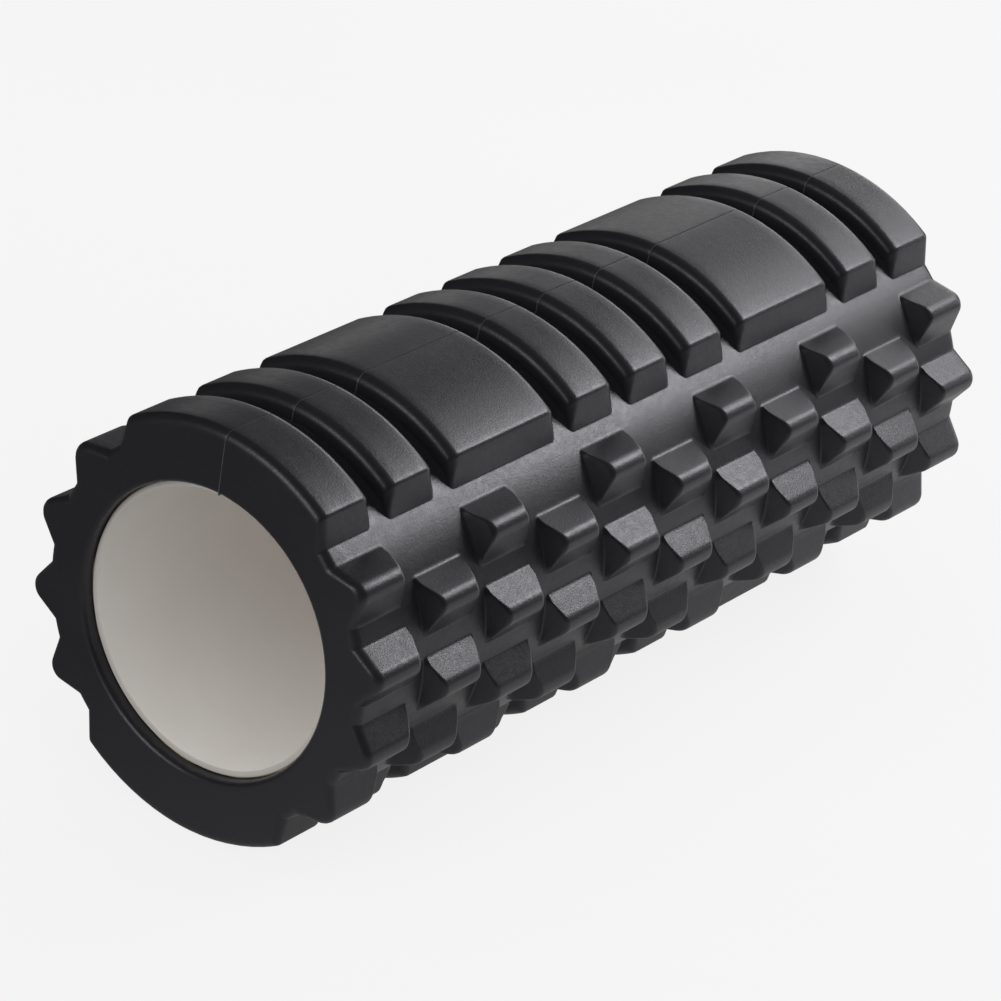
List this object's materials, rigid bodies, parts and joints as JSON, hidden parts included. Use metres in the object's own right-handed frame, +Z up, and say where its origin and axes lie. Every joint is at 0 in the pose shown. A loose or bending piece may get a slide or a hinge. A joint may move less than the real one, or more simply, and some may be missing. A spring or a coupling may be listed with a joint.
{
  "type": "foam massage roller",
  "caption": "Hollow foam roller: a rigid tube in a moulded foam sleeve with raised ribs on two sides and wedge-shaped knobs on the other two.",
  "frame": {"origin": "middle of the roller, on its axis", "axes": "+X along the roller's axis, +Z up through the middle of the ribs that hold the seam, +Y through the middle of the knobs on one side"},
  "size_m": [0.33, 0.14, 0.14],
  "materials": {
    "tube_plastic": "warm light grey, extruded, matt",
    "glue": "thin dried contact glue",
    "foam": "black closed-cell foam with a satin moulded skin",
    "seam_glue": "dark dried glue"
  },
  "bodies": {
    "root": {"core_tube": "tube_plastic", "glue_film": "glue", "foam_sleeve": "foam", "seam_bead": "seam_glue"}
  },
  "joints": []
}
